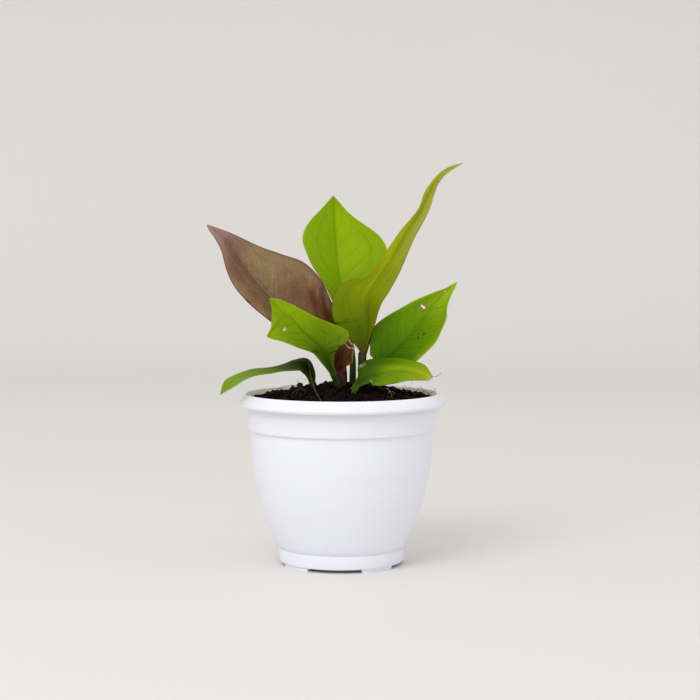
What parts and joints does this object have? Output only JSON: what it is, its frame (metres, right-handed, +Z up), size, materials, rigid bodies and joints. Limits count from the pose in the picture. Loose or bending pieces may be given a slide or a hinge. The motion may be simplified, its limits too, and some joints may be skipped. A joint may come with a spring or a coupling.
{
  "type": "potted anthurium",
  "caption": "Young foliage plant in a white round plastic pot, with lime, green and bronze pointed leaves on short stalks rising from dark heaped soil.",
  "frame": {"origin": "on the pot's axis, on the plane that its feet stand on; the leaves spread so evenly that this is also the bottom centre of the bounding box", "axes": "+Z up along the pot's axis, -Y towards the front of the plant, +X to the right as seen from the front, on the tall leaf's side"},
  "size_m": [0.1599, 0.13, 0.2543],
  "materials": {
    "pot_plastic": "smooth moulded white, slightly bluish",
    "potting_soil": "moist crumbly peat mix, near black",
    "crown_stem": "fibrous plant stem",
    "bronze_leaf_blade": "glossy, olive and red brown",
    "bronze_leaf_stalk": "smooth fleshy leaf stalk, red brown",
    "back_leaf_blade": "satin, lime green",
    "back_leaf_stalk": "smooth fleshy leaf stalk, dark green",
    "tall_leaf_blade": "satin, olive lime with a red margin",
    "tall_leaf_stalk": "smooth fleshy leaf stalk, brown red",
    "right_leaf_blade": "satin, green with spots and small holes",
    "right_leaf_stalk": "smooth fleshy leaf stalk, dark green",
    "low_right_leaf_blade": "satin, lime green with a scorched tip",
    "low_right_leaf_stalk": "smooth fleshy leaf stalk, green",
    "front_left_leaf_blade": "satin, lime green with a pale spot",
    "front_left_leaf_stalk": "smooth fleshy leaf stalk, green",
    "low_left_leaf_blade": "satin, light green, darker at its bend",
    "low_left_leaf_stalk": "smooth fleshy leaf stalk, very dark green",
    "curled_leaf_blade": "dry and papery, brown with a pale frayed edge",
    "curled_leaf_stalk": "smooth fleshy leaf stalk, purple red"
  },
  "bodies": {
    "root": {"pot": "pot_plastic", "soil": "potting_soil", "crown": "crown_stem", "bronze_leaf_blade": "bronze_leaf_blade", "bronze_leaf_stalk": "bronze_leaf_stalk", "back_leaf_blade": "back_leaf_blade", "back_leaf_stalk": "back_leaf_stalk", "tall_leaf_blade": "tall_leaf_blade", "tall_leaf_stalk": "tall_leaf_stalk", "right_leaf_blade": "right_leaf_blade", "right_leaf_stalk": "right_leaf_stalk", "low_right_leaf_blade": "low_right_leaf_blade", "low_right_leaf_stalk": "low_right_leaf_stalk", "front_left_leaf_blade": "front_left_leaf_blade", "front_left_leaf_stalk": "front_left_leaf_stalk", "low_left_leaf_blade": "low_left_leaf_blade", "low_left_leaf_stalk": "low_left_leaf_stalk", "curled_leaf_blade": "curled_leaf_blade", "curled_leaf_stalk": "curled_leaf_stalk"}
  },
  "joints": []
}
